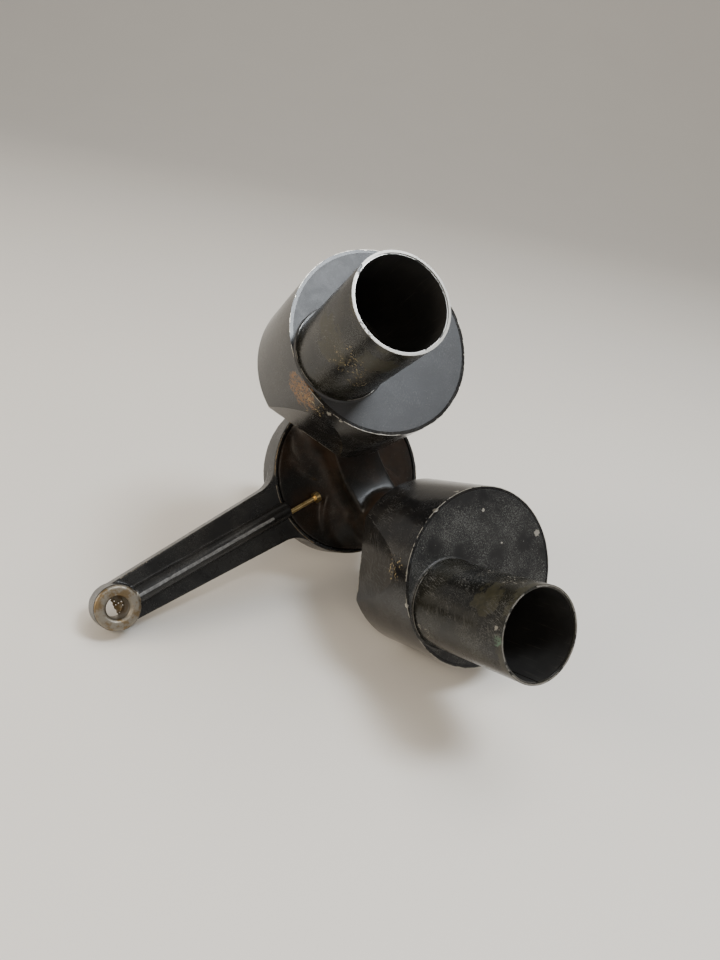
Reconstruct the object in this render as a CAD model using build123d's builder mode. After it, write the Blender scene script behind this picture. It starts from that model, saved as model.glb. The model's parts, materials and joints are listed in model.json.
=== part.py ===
from build123d import *
import os
from math import cos, radians, sin, sqrt, tan

# Stereo microscope head: two prism housings that swivel on the necks of one body casting,
# which a ring on a drilled arm carries. Millimetres and degrees throughout.
# The head's own frame has Z up the middle towards the eyepieces, X from the left housing to
# the right one, and Y towards the arm. The whole head lies on a table.

os.makedirs("parts", exist_ok=True)

# Fits
running_fit = 0.05  # radial, a part that turns in or on another
seat_fit = 0.03  # radial, a part that is pushed into its seat and stays
axial_play = 0.05

# Optical layout
half_angle = 8.0  # each optical axis leans this far from the middle
face_spacing = 73.4  # between the middles of the two housing faces
neck_offset = 13.3  # inwards from the housing's middle to its neck
tube_offset = 13.3  # from the housing's middle to its eyepiece tube
tube_azimuth = 85.0  # measured from straight outwards, towards the arm
beam_radius = 4.75

# Prism housing and its cover
housing_radius = 26.6
housing_depth = 29.5  # cover included
wall = 2.2
floor = 3.0
edge_round = 0.5
cover_thickness = 2.5
cover_rim = 1.0  # wall of the housing around the cover
lip_height = 3.4
lip_wall = 1.9
flat_azimuth = 120.0  # direction that the cast flat faces
flat_distance = 23.1  # from the housing's axis at the rear
flat_draft = 8.5

# Eyepiece tube and sleeve
tube_diameter = 25.0
tube_length = 36.1
tube_wall = 0.6
tube_collar = 0.5  # how far the collar stands out
collar_height = 0.9
spigot_radius = 11.2
spigot_depth = 1.6
eyepiece_stop_height = 2.0
tube_aperture = 9.0  # through the tube's stop
eyepiece_aperture = 8.0  # through the cover
sleeve_bore = 23.3
sleeve_slit = 0.5
sleeve_setback = 0.3
sleeve_slit_azimuth = {"right": 180.0, "left": 25.0}

# Prisms and the plate between them
prism_width = 11.0
ridge_flat = 2.3  # half width of the ground-off ridge
shelf_level = 14.0  # top of the plate, below the cover's face
shelf_thickness = 1.5
shelf_gap = 0.15
clip_thickness = 0.4
clip_width = 4.0
clip_foot = 3.2
clip_hole = 1.9  # from the prism's long edge to the screw in the clip's foot
clip_head_radius = 1.3
clip_gap = 0.05
pillar_radius = 2.4
pillar_places = [(15.5, 9.0), (10.0, -16.0), (-10.5, 14.0)]

# Neck joint
neck_radius = 9.8
journal_radius = 6.5
washer_thickness = 0.5
washer_setback = 0.3
nut_radius = 8.3
nut_thickness = 2.2
nut_slot = 2.0

# Body casting and carrier ring
ring_front = 52.0  # below the housing faces
ring_radius = 27.2
ring_depth = 10.5
ring_wall = 1.2
disc_thickness = 5.0
rear_bore_radius = 24.6
web_half_width = 8.0
foot_flare = 8.0  # radius of the hollow round where the necks and web meet the disc
web_top = 33.0
web_dip = 41.0
web_top_span = 19.0
web_foot_span = 17.0

# Arm
arm_turn = 1.7  # about the ring, from straight towards Y
arm_reach = 87.0  # ring centre to boss centre
arm_root_width = 21.4  # as if the blade ran on to the ring's centre
arm_tip_width = 13.0
arm_thickness = 6.0
arm_root_round = 9.0
rib_radius = 2.6
rib_rise = 1.3
boss_radius = 6.8
boss_length = 10.0
boss_rise = 4.2  # boss face above the ring face
boss_bore = 6.5
boss_chamfer = 0.7

# Locating pin
pin_radius = 0.85
pin_head_radius = 1.8
pin_head_length = 1.6
pin_side = -1.2
pin_rise = 2.2
pin_inner_end = 14.8
pin_embed = 3.0

# Objectives
objective_radius = 8.0
objective_flange_radius = 8.8
objective_flange = 1.6
objective_thread_radius = 7.4
objective_thread = 4.0
objective_length = 40.0
nose_radius = 6.6
nose_length = 7.0
objective_bore = 5.0
rear_seat_radius = 6.7
rear_seat_depth = 4.6
front_seat_radius = 5.6
front_seat_depth = 3.0
lens_edge = 1.6
lens_crown = 1.2
lens_ring_thickness = 1.3
lens_ring_bore = 5.2

# Fasteners
grub_radius = 1.2
grub_socket = 0.65
screw_recess = 0.25  # how far the ends of a screw stay below the surface
cover_screw_azimuths = [210.0, 330.0]
ring_screw_azimuths = [205.0, 270.0, 335.0]
small_screw_radius = 0.8
small_head_radius = 1.6
small_head_height = 0.9
shelf_screw_length = 5.5

# How the head lies on the table: its axis leans this far from upright, the table's normal is
# turned this far from X about the axis, and the axis heads this way across the table.
lie_tilt = 58.106
lie_roll = -21.326
lie_heading = -58.21

# Values that follow from the ones above
half_spacing = face_spacing / 2
chamber_radius = housing_radius - wall
flat_inner = flat_distance - wall
tube_radius = tube_diameter / 2
tube_bore_radius = tube_radius - tube_wall
sleeve_radius = tube_bore_radius - seat_fit
sleeve_bore_radius = sleeve_bore / 2
tube_x = tube_offset * cos(radians(tube_azimuth))
tube_y = tube_offset * sin(radians(tube_azimuth))
shelf_bottom = shelf_level + shelf_thickness
floor_level = housing_depth - floor
shoulder_level = housing_depth + washer_thickness + 2 * axial_play
nut_level = floor_level - axial_play
flange_drop = objective_flange_radius * tan(radians(half_angle)) + axial_play
foot_level = -ring_front - disc_thickness / 2
sides = {"right": 1, "left": -1}


def along_neck(level):
    """Distance down a neck's own axis to a level below the housing faces."""
    return (level + neck_offset * sin(radians(half_angle))) / cos(radians(half_angle))


def lying_frame(origin):
    """The head's frame as it lies on the table, with its origin at the given point."""
    tilt, heading = radians(lie_tilt), radians(lie_heading)
    axis = Vector(sin(tilt) * cos(heading), sin(tilt) * sin(heading), cos(tilt))
    uphill = (Vector(0, 0, 1) - axis * cos(tilt)).normalized()
    across = uphill.rotate(Axis((0, 0, 0), tuple(axis)), -lie_roll)
    return Plane(origin=origin, x_dir=across, z_dir=axis)


def housing_frame(base, sign):
    """Middle of a housing's face: x outwards, z along its axis."""
    turn = 0 if sign > 0 else 180
    place = Pos(sign * half_spacing, 0, 0) * Rot(0, 0, turn) * Rot(0, half_angle, 0)
    return Plane(base.location * place)


def shifted(plane, x=0.0, y=0.0, z=0.0, spin=0.0):
    """A copy of a plane moved in its own directions and then turned about its normal."""
    return Plane(plane.location * Pos(x, y, z) * Rot(0, 0, spin))


def rim_reach(plane, radius, rounding, direction):
    """How far a round rim, with its edge rounded upwards, reaches along a direction."""
    across = sqrt(max(0.0, 1.0 - plane.z_dir.dot(direction) ** 2))
    centre = plane.offset(rounding).origin.dot(direction)
    return centre + (radius - rounding) * across + rounding


def nose_frame(neck):
    """Middle of an objective's free end, on the neck's own axis."""
    return neck.offset(-along_neck(ring_front + disc_thickness) - flange_drop - objective_length)


def boss_frame(base):
    """Middle of the boss's face, with y pointing out along the arm."""
    turned = shifted(base, z=boss_rise - ring_front, spin=arm_turn)
    return shifted(turned, y=arm_reach)


def outer_rims(base):
    """The rims that the head's outer box is made of."""
    rims = [
        (boss_frame(base), boss_radius, 0),
        (boss_frame(base).offset(-boss_length), boss_radius, 0),
        (shifted(base, 0, 0, -ring_front - ring_depth), ring_radius, 0),
    ]
    for sign in sides.values():
        unit = housing_frame(base, sign)
        rims.append((shifted(unit, tube_x, sign * tube_y, tube_length), tube_radius, 0))
        rims.append((unit, housing_radius, 0))
        rims.append((unit.offset(-housing_depth), housing_radius, edge_round))
        rims.append((nose_frame(shifted(unit, -neck_offset)), nose_radius, 0))
    return rims


# The origin is under the middle of the head, on the table.
draft_rims = outer_rims(lying_frame((0, 0, 0)))
low, high = [], []
for direction in (Vector(1, 0, 0), Vector(0, 1, 0), Vector(0, 0, 1)):
    high.append(max(rim_reach(*rim, direction) for rim in draft_rims))
    low.append(-max(rim_reach(*rim, direction * -1) for rim in draft_rims))
head = lying_frame((-(low[0] + high[0]) / 2, -(low[1] + high[1]) / 2, -low[2]))
units = {side: housing_frame(head, sign) for side, sign in sides.items()}
necks = {side: shifted(unit, -neck_offset) for side, unit in units.items()}
front_view = Plane(origin=head.origin, x_dir=head.x_dir, z_dir=-head.y_dir)
disc_plane = head.offset(-ring_front)
arm_plane = shifted(disc_plane, spin=arm_turn)
arm_root = Plane(shifted(arm_plane, y=ring_radius + ring_wall).location * Rot(-90, 0, 0))
boss_face = boss_frame(head)
boss_axis = Axis(boss_face.origin, boss_face.z_dir)
boss_section = Plane(boss_face.location * Rot(90, 0, 0))
pin_axis = Plane(shifted(arm_plane, pin_side, 0, pin_rise).location * Rot(-90, 0, 0))


def chamber_outline(sign, radius, flat):
    """Outline of the prism chamber: a circle with its flat, on the XY plane."""
    spin = Rot(0, 0, sign * flat_azimuth)
    with BuildSketch() as outline:
        Circle(radius)
        with Locations(spin * Pos(flat + radius / 2, 0, 0)):
            Rectangle(radius, 3 * radius, mode=Mode.SUBTRACT)
    return outline.sketch


def clip_line(half_base, height):
    """Centre line of a spring strap over a prism: foot, flank, top, flank, foot."""
    lift = clip_gap + clip_thickness / 2
    toe = half_base + lift * sqrt(2) - clip_thickness / 2
    top = half_base + lift * sqrt(2) - height - lift
    foot = toe + clip_foot
    mid = clip_thickness / 2
    right = [(foot, mid), (toe, mid), (top, height + lift)]
    left = [(-x, y) for x, y in reversed(right)]
    return right + left


# Carrier: ring, ribbed arm and drilled boss in one casting
with BuildPart() as carrier:
    with BuildSketch(arm_plane):
        Circle(ring_radius)
    extrude(amount=-ring_depth)
    with BuildSketch(arm_plane) as blade:
        Circle(ring_radius)
        with BuildLine():
            Polyline(
                (-arm_root_width / 2, 0),
                (arm_root_width / 2, 0),
                (arm_tip_width / 2, arm_reach),
                (-arm_tip_width / 2, arm_reach),
                close=True,
            )
        make_face()
        root_corners = blade.vertices().filter_by(
            lambda v: abs(v.X) > arm_tip_width / 2 and v.Y > ring_radius / 2
        )
        fillet(root_corners.group_by(Axis.Y)[0], radius=arm_root_round)
    extrude(amount=-arm_thickness)
    with BuildSketch(Plane(shifted(arm_plane, z=rib_rise).location * Rot(-90, 0, 0))):
        Circle(rib_radius)
    extrude(amount=arm_reach)
    with BuildSketch(boss_section):
        Polygon(
            (0, 0),
            (boss_radius - boss_chamfer, 0),
            (boss_radius, -boss_chamfer),
            (boss_radius, -boss_length),
            (0, -boss_length),
            align=None,
        )
    revolve(axis=boss_axis)
    with BuildSketch(boss_section):
        Polygon(
            (0, 0),
            (boss_bore / 2 + boss_chamfer, 0),
            (boss_bore / 2, -boss_chamfer),
            (boss_bore / 2, boss_chamfer - boss_length),
            (boss_bore / 2 + boss_chamfer, -boss_length),
            (0, -boss_length),
            align=None,
        )
    revolve(axis=boss_axis, mode=Mode.SUBTRACT)
    with BuildSketch(disc_plane.offset(rib_radius + rib_rise)):
        Circle(ring_radius - ring_wall)
    extrude(amount=-rib_radius - rib_rise - disc_thickness, mode=Mode.SUBTRACT)
    with BuildSketch(disc_plane.offset(-disc_thickness)):
        Circle(rear_bore_radius)
    extrude(amount=-ring_depth, mode=Mode.SUBTRACT)
    for azimuth in ring_screw_azimuths:
        level = shifted(disc_plane, z=-disc_thickness / 2, spin=azimuth)
        with BuildSketch(Plane(level.location * Rot(0, 90, 0))):
            Circle(grub_radius + seat_fit)
        extrude(amount=ring_radius + ring_wall, mode=Mode.SUBTRACT)
    with BuildSketch(pin_axis):
        Circle(pin_radius)
    extrude(amount=ring_radius + pin_embed, mode=Mode.SUBTRACT)

# The carrier's casting in two nodes that meet on one plane, so that each keeps a simple shape
with BuildPart() as carrier_ring:
    add(carrier.part)
    split(bisect_by=arm_root, keep=Keep.BOTTOM)
carrier_ring.part.label = "carrier_ring"
export_step(carrier_ring.part, "parts/carrier_ring.step")

with BuildPart() as carrier_arm:
    add(carrier.part)
    split(bisect_by=arm_root, keep=Keep.TOP)
carrier_arm.part.label = "carrier_arm"
export_step(carrier_arm.part, "parts/carrier_arm.step")

# Body casting: a disc in the ring, two leaning necks and the web between them
with BuildPart() as casting:
    with BuildSketch(disc_plane):
        Circle(ring_radius - ring_wall - seat_fit)
    extrude(amount=-disc_thickness)
    # Hollow rounds that spread the web and the necks into the disc, trimmed to the disc
    with BuildSketch(Plane(head.location * Rot(0, 90, 0) * Rot(0, 0, 90))):
        with BuildLine():
            wide = web_half_width + foot_flare
            rise = -ring_front + foot_flare
            Polyline((-wide, -ring_front), (-wide, foot_level), (wide, foot_level), (wide, -ring_front))
            RadiusArc((wide, -ring_front), (web_half_width, rise), foot_flare)
            Line((web_half_width, rise), (-web_half_width, rise))
            RadiusArc((-web_half_width, rise), (-wide, -ring_front), foot_flare)
        make_face()
    extrude(amount=web_foot_span, both=True)
    for neck in necks.values():
        with BuildSketch(Plane(neck.location * Rot(90, 0, 0))):
            with BuildLine():
                wide = neck_radius + foot_flare
                level = -along_neck(ring_front)
                Polyline(
                    (neck_radius, level + foot_flare),
                    (0, level + foot_flare),
                    (0, level - disc_thickness / 2),
                    (wide, level - disc_thickness / 2),
                    (wide, level),
                )
                RadiusArc((wide, level), (neck_radius, level + foot_flare), foot_flare)
            make_face()
        revolve(axis=Axis(neck.origin, neck.z_dir))
    with BuildSketch(disc_plane.offset(-disc_thickness)):
        Circle(ring_radius - ring_wall - seat_fit)
    extrude(amount=disc_thickness + foot_flare * 2, mode=Mode.INTERSECT)
    with BuildSketch(front_view):
        with BuildLine():
            Polyline(
                (-web_top_span, -web_top),
                (-web_foot_span, foot_level),
                (web_foot_span, foot_level),
                (web_top_span, -web_top),
            )
            ThreePointArc((web_top_span, -web_top), (0, -web_dip), (-web_top_span, -web_top))
        make_face()
    extrude(amount=web_half_width, both=True)
    for neck in necks.values():
        with BuildSketch(neck.offset(-shoulder_level)):
            Circle(neck_radius)
        extrude(amount=shoulder_level - along_neck(ring_front + disc_thickness / 2))
        with BuildSketch(neck.offset(-shoulder_level)):
            Circle(journal_radius)
        extrude(amount=shoulder_level - nut_level + nut_thickness)
    for neck in necks.values():
        rear_level = along_neck(ring_front + disc_thickness)
        with BuildSketch(neck.offset(-nut_level + nut_thickness)):
            Circle(beam_radius)
        extrude(amount=-housing_depth * 2, mode=Mode.SUBTRACT)
        with BuildSketch(neck.offset(-rear_level + objective_thread)):
            Circle(objective_thread_radius + seat_fit)
        extrude(amount=-housing_depth, mode=Mode.SUBTRACT)
    for azimuth in ring_screw_azimuths:
        level = shifted(disc_plane, z=-disc_thickness / 2, spin=azimuth)
        with BuildSketch(Plane(level.location * Rot(0, 90, 0) * Pos(0, 0, rear_bore_radius))):
            Circle(grub_radius + seat_fit)
        extrude(amount=ring_radius, mode=Mode.SUBTRACT)
casting.part.label = "body_casting"
export_step(casting.part, "parts/body_casting.step")

# Grub screws that hold the casting's disc in the ring
with BuildPart() as ring_screws:
    for azimuth in ring_screw_azimuths:
        level = shifted(disc_plane, z=-disc_thickness / 2, spin=azimuth)
        inner = Plane(level.location * Rot(0, 90, 0) * Pos(0, 0, rear_bore_radius + screw_recess))
        with BuildSketch(inner):
            Circle(grub_radius)
        extrude(amount=ring_radius - rear_bore_radius - 2 * screw_recess)
        with BuildSketch(inner.offset(ring_radius - rear_bore_radius - 2 * screw_recess)):
            RegularPolygon(grub_socket, 6)
        extrude(amount=-grub_radius, mode=Mode.SUBTRACT)
ring_screws.part.label = "ring_screws"
export_step(ring_screws.part, "parts/ring_screws.step")

# Brass pin that stops the casting from turning in the ring
with BuildPart() as locating_pin:
    with BuildSketch(pin_axis.offset(pin_inner_end)):
        Circle(pin_head_radius)
    extrude(amount=pin_head_length)
    with BuildSketch(pin_axis.offset(pin_inner_end)):
        Circle(pin_radius - seat_fit)
    extrude(amount=ring_radius + pin_embed - pin_inner_end - seat_fit)
locating_pin.part.label = "locating_pin"
export_step(locating_pin.part, "parts/locating_pin.step")

for side, sign in sides.items():
    unit = units[side]
    neck = necks[side]
    tube_seat = shifted(unit, tube_x, sign * tube_y)
    flat = Plane(
        unit.location
        * Rot(0, 0, sign * flat_azimuth)
        * Pos(flat_distance, 0, -housing_depth)
        * Rot(0, 90 + flat_draft, 0)
    )
    upper_bed = shifted(unit, (tube_x - neck_offset) / 2, 0, -shelf_level)
    lower_bed = shifted(unit, tube_x, sign * tube_y / 2, -shelf_bottom, 90)
    upper_half = (neck_offset + tube_x + prism_width) / 2
    lower_half = (tube_y + prism_width) / 2
    places = [Pos(x, sign * y, 0) for x, y in pillar_places]

    # Housing: a cup with a cast flat, a neck hole and pillars for the prism plate
    with BuildPart() as housing:
        with BuildSketch(unit.offset(-housing_depth)):
            Circle(housing_radius)
        extrude(amount=housing_depth)
        fillet(housing.faces().sort_by(Axis(unit.origin, unit.z_dir))[0].edges(), radius=edge_round)
        split(bisect_by=flat, keep=Keep.BOTTOM)
        with BuildSketch(unit.offset(-floor_level)):
            add(chamber_outline(sign, chamber_radius, flat_inner))
        extrude(amount=housing_depth, mode=Mode.SUBTRACT)
        with BuildSketch(unit):
            Circle(housing_radius - cover_rim)
        extrude(amount=-cover_thickness, mode=Mode.SUBTRACT)
        with BuildSketch(unit.offset(-floor_level)):
            with Locations(places):
                Circle(pillar_radius)
        extrude(amount=floor_level - shelf_bottom)
        with BuildSketch(unit.offset(-shelf_bottom)):
            with Locations(places):
                Circle(small_screw_radius + seat_fit)
        extrude(amount=-shelf_screw_length, mode=Mode.SUBTRACT)
        with BuildSketch(neck.offset(-floor_level)):
            Circle(journal_radius + running_fit)
        extrude(amount=-2 * floor, mode=Mode.SUBTRACT)
        for azimuth in cover_screw_azimuths:
            level = shifted(unit, z=-cover_thickness - lip_height / 2, spin=sign * azimuth)
            with BuildSketch(Plane(level.location * Rot(0, 90, 0) * Pos(0, 0, chamber_radius / 2))):
                Circle(grub_radius + seat_fit)
            extrude(amount=housing_radius, mode=Mode.SUBTRACT)
    housing.part.label = f"{side}_prism_housing"
    export_step(housing.part, f"parts/{side}_prism_housing.step")

    # Cover: a plate with a locating lip and the eyepiece tube's seat
    with BuildPart() as cover:
        with BuildSketch(unit):
            Circle(housing_radius - cover_rim - seat_fit)
        extrude(amount=-cover_thickness)
        with BuildSketch(unit.offset(-cover_thickness)):
            add(chamber_outline(sign, chamber_radius - seat_fit, flat_inner - seat_fit))
            add(
                chamber_outline(sign, chamber_radius - lip_wall, flat_inner - lip_wall),
                mode=Mode.SUBTRACT,
            )
        extrude(amount=-lip_height)
        with BuildSketch(tube_seat):
            Circle(spigot_radius + seat_fit)
        extrude(amount=-spigot_depth, mode=Mode.SUBTRACT)
        with BuildSketch(tube_seat):
            Circle(eyepiece_aperture)
        extrude(amount=-2 * cover_thickness, mode=Mode.SUBTRACT)
        for azimuth in cover_screw_azimuths:
            level = shifted(unit, z=-cover_thickness - lip_height / 2, spin=sign * azimuth)
            with BuildSketch(Plane(level.location * Rot(0, 90, 0) * Pos(0, 0, chamber_radius / 2))):
                Circle(grub_radius + seat_fit)
            extrude(amount=housing_radius, mode=Mode.SUBTRACT)
    cover.part.label = f"{side}_cover"
    export_step(cover.part, f"parts/{side}_cover.step")

    # Grub screws through the housing's side into the cover's lip
    with BuildPart() as cover_screws:
        for azimuth in cover_screw_azimuths:
            level = shifted(unit, z=-cover_thickness - lip_height / 2, spin=sign * azimuth)
            outer = Plane(level.location * Rot(0, 90, 0) * Pos(0, 0, housing_radius - screw_recess))
            with BuildSketch(outer):
                Circle(grub_radius)
            extrude(amount=-(wall + lip_wall - 2 * screw_recess))
            with BuildSketch(outer):
                RegularPolygon(grub_socket, 6)
            extrude(amount=-grub_radius, mode=Mode.SUBTRACT)
    cover_screws.part.label = f"{side}_cover_screws"
    export_step(cover_screws.part, f"parts/{side}_cover_screws.step")

    # Eyepiece tube: spigot, collar and bored barrel
    with BuildPart() as tube:
        with BuildSketch(tube_seat.offset(-spigot_depth)):
            Circle(spigot_radius)
        extrude(amount=spigot_depth)
        with BuildSketch(tube_seat):
            Circle(tube_radius + tube_collar)
        extrude(amount=collar_height)
        with BuildSketch(tube_seat.offset(collar_height)):
            Circle(tube_radius)
        extrude(amount=tube_length - collar_height)
        with BuildSketch(tube_seat.offset(eyepiece_stop_height)):
            Circle(tube_bore_radius)
        extrude(amount=tube_length, mode=Mode.SUBTRACT)
        with BuildSketch(tube_seat.offset(-spigot_depth)):
            Circle(tube_aperture)
        extrude(amount=tube_length, mode=Mode.SUBTRACT)
    tube.part.label = f"{side}_eyepiece_tube"
    export_step(tube.part, f"parts/{side}_eyepiece_tube.step")

    # Split spring sleeve that grips the eyepiece
    with BuildPart() as sleeve:
        slit_turn = sign * sleeve_slit_azimuth[side]
        with BuildSketch(shifted(tube_seat, z=eyepiece_stop_height, spin=slit_turn)):
            Circle(sleeve_radius)
            Circle(sleeve_bore_radius, mode=Mode.SUBTRACT)
            with Locations((sleeve_radius, 0)):
                Rectangle(tube_radius, sleeve_slit, mode=Mode.SUBTRACT)
        extrude(amount=tube_length - eyepiece_stop_height - sleeve_setback)
    sleeve.part.label = f"{side}_eyepiece_sleeve"
    export_step(sleeve.part, f"parts/{side}_eyepiece_sleeve.step")

    # Plate that carries a prism on each face
    with BuildPart() as shelf:
        with BuildSketch(unit.offset(-shelf_bottom)):
            add(chamber_outline(sign, chamber_radius - shelf_gap, flat_inner - shelf_gap))
            with Locations((-neck_offset, 0), (tube_x, 0), (tube_x, sign * tube_y)):
                Circle(beam_radius, mode=Mode.SUBTRACT)
            with Locations(places):
                Circle(small_screw_radius + seat_fit, mode=Mode.SUBTRACT)
        extrude(amount=shelf_thickness)
        for bed, half_base in ((upper_bed, upper_half), (lower_bed, lower_half)):
            reach = half_base + clip_hole
            with BuildSketch(bed):
                with Locations((reach, 0), (-reach, 0)):
                    Circle(small_screw_radius + seat_fit)
            extrude(amount=shelf_thickness, both=True, mode=Mode.SUBTRACT)
    shelf.part.label = f"{side}_prism_shelf"
    export_step(shelf.part, f"parts/{side}_prism_shelf.step")

    with BuildPart() as shelf_screws:
        with BuildSketch(unit.offset(-shelf_level)):
            with Locations(places):
                Circle(small_screw_radius)
        extrude(amount=-shelf_screw_length)
        with BuildSketch(unit.offset(-shelf_level)):
            with Locations(places):
                Circle(small_head_radius)
        extrude(amount=small_head_height)
    shelf_screws.part.label = f"{side}_shelf_screws"
    export_step(shelf_screws.part, f"parts/{side}_shelf_screws.step")

    # Right-angle prisms, each with its long face on the plate and its ridge ground off
    stations = (("upper", upper_bed, upper_half, 1), ("lower", lower_bed, lower_half, -1))
    for level_name, bed, half_base, facing in stations:
        height = half_base - ridge_flat
        section = Plane(bed.location * Rot(facing * 90, 0, 0))
        with BuildPart() as prism:
            with BuildSketch(section):
                with BuildLine():
                    Polyline(
                        (-half_base, 0),
                        (half_base, 0),
                        (ridge_flat, height),
                        (-ridge_flat, height),
                        close=True,
                    )
                make_face()
            extrude(amount=prism_width / 2, both=True)
        prism.part.label = f"{side}_{level_name}_prism"
        export_step(prism.part, f"parts/{side}_{level_name}_prism.step")

        with BuildPart() as clip:
            with BuildSketch(section):
                with BuildLine():
                    Polyline(*clip_line(half_base, height))
                trace(line_width=clip_thickness)
            extrude(amount=clip_width / 2, both=True)
            reach = half_base + clip_hole
            with BuildSketch(bed):
                with Locations((reach, 0), (-reach, 0)):
                    Circle(small_screw_radius + seat_fit)
            extrude(amount=2 * clip_thickness, both=True, mode=Mode.SUBTRACT)
        clip.part.label = f"{side}_{level_name}_prism_clip"
        export_step(clip.part, f"parts/{side}_{level_name}_prism_clip.step")

    with BuildPart() as clip_screws:
        for level_name, bed, half_base, facing in stations:
            reach = half_base + clip_hole
            outwards = bed.offset(facing * clip_thickness)
            with BuildSketch(outwards):
                with Locations((reach, 0), (-reach, 0)):
                    Circle(clip_head_radius)
            extrude(amount=facing * small_head_height)
            with BuildSketch(outwards):
                with Locations((reach, 0), (-reach, 0)):
                    Circle(small_screw_radius)
            extrude(amount=-facing * (clip_thickness + shelf_thickness - screw_recess))
    clip_screws.part.label = f"{side}_clip_screws"
    export_step(clip_screws.part, f"parts/{side}_clip_screws.step")

    # Neck joint: a fibre washer on the neck's shoulder and a slotted nut inside the housing
    with BuildPart() as washer:
        with BuildSketch(neck.offset(-shoulder_level)):
            Circle(neck_radius - washer_setback)
            Circle(journal_radius + running_fit, mode=Mode.SUBTRACT)
        extrude(amount=washer_thickness)
    washer.part.label = f"{side}_neck_washer"
    export_step(washer.part, f"parts/{side}_neck_washer.step")

    with BuildPart() as nut:
        with BuildSketch(neck.offset(-nut_level)):
            Circle(nut_radius)
            Circle(journal_radius + seat_fit, mode=Mode.SUBTRACT)
        extrude(amount=nut_thickness)
        with BuildSketch(neck.offset(-nut_level + nut_thickness)):
            Rectangle(3 * nut_radius, nut_slot)
        extrude(amount=-nut_thickness / 2, mode=Mode.SUBTRACT)
    nut.part.label = f"{side}_neck_nut"
    export_step(nut.part, f"parts/{side}_neck_nut.step")

    # Objective: a barrel screwed into the disc, with a lens at each end
    rear_face = neck.offset(-along_neck(ring_front + disc_thickness))
    barrel_top = rear_face.offset(-flange_drop)
    thread_top = flange_drop + objective_thread - 4 * axial_play
    nose_end = nose_frame(neck)
    with BuildPart() as objective:
        with BuildSketch(barrel_top):
            Circle(objective_flange_radius)
        extrude(amount=-objective_flange)
        with BuildSketch(barrel_top):
            Circle(objective_radius)
        extrude(amount=-(objective_length - nose_length))
        with BuildSketch(nose_end.offset(nose_length)):
            Circle(objective_radius)
        with BuildSketch(nose_end):
            Circle(nose_radius)
        loft()
        with BuildSketch(barrel_top):
            Circle(objective_thread_radius)
        extrude(amount=thread_top)
        with BuildSketch(barrel_top.offset(thread_top)):
            Circle(objective_bore)
        extrude(amount=-2 * objective_length, mode=Mode.SUBTRACT)
        with BuildSketch(barrel_top.offset(thread_top)):
            Circle(rear_seat_radius)
        extrude(amount=-rear_seat_depth, mode=Mode.SUBTRACT)
        with BuildSketch(nose_end):
            Circle(front_seat_radius)
        extrude(amount=front_seat_depth, mode=Mode.SUBTRACT)
    objective.part.label = f"{side}_objective_barrel"
    export_step(objective.part, f"parts/{side}_objective_barrel.step")

    rear_bed = barrel_top.offset(thread_top - rear_seat_depth)
    front_bed = Plane(nose_end.offset(front_seat_depth).location * Rot(180, 0, 0))
    lenses = (("rear", rear_bed, rear_seat_radius), ("front", front_bed, front_seat_radius))
    for place_name, bed, seat_radius in lenses:
        lens_radius = seat_radius - seat_fit
        with BuildPart() as lens:
            with BuildSketch(Plane(bed.location * Rot(90, 0, 0))):
                with BuildLine():
                    Polyline(
                        (0, lens_edge + lens_crown),
                        (0, 0),
                        (lens_radius, 0),
                        (lens_radius, lens_edge),
                    )
                    RadiusArc(
                        (lens_radius, lens_edge),
                        (0, lens_edge + lens_crown),
                        -(lens_radius**2 + lens_crown**2) / (2 * lens_crown),
                    )
                make_face()
            revolve(axis=Axis(bed.origin, bed.z_dir))
        lens.part.label = f"{side}_{place_name}_lens"
        export_step(lens.part, f"parts/{side}_{place_name}_lens.step")

    with BuildPart() as lens_ring:
        with BuildSketch(barrel_top.offset(thread_top - axial_play)):
            Circle(rear_seat_radius - seat_fit)
            Circle(lens_ring_bore, mode=Mode.SUBTRACT)
        extrude(amount=-lens_ring_thickness)
    lens_ring.part.label = f"{side}_lens_ring"
    export_step(lens_ring.part, f"parts/{side}_lens_ring.step")
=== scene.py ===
import json
import logging
from abc import ABC, abstractmethod
from dataclasses import dataclass, field
from enum import Enum
from math import cos, radians, sin

import bmesh
import bpy
from mathutils import Matrix, Vector

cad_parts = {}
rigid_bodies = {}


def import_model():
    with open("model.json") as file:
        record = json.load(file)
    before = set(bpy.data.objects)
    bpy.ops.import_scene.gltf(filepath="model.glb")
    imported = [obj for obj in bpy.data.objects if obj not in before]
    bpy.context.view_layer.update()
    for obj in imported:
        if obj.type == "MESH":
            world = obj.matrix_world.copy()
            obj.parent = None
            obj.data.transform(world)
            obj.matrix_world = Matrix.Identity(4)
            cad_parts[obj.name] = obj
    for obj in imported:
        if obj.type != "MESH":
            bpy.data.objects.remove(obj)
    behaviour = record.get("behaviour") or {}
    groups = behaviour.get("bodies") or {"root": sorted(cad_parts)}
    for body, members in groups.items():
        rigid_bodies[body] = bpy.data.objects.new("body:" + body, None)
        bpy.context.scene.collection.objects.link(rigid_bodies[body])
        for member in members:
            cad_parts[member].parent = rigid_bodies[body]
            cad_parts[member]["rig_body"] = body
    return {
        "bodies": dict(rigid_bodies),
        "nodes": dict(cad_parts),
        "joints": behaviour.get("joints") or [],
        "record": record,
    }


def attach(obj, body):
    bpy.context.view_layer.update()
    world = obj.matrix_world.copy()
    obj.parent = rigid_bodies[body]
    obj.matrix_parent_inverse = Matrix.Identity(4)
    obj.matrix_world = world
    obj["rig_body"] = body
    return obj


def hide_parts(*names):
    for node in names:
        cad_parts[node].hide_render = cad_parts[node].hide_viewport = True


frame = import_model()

logging.basicConfig(level=logging.INFO, format="%(name)s: %(message)s")
log = logging.getLogger("microscope_head")

MM = 0.001
NODES: dict[str, bpy.types.Object] = frame["nodes"]
RECORD: dict = frame["record"]
Colour = tuple[float, float, float]
Socket = bpy.types.NodeSocket


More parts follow.
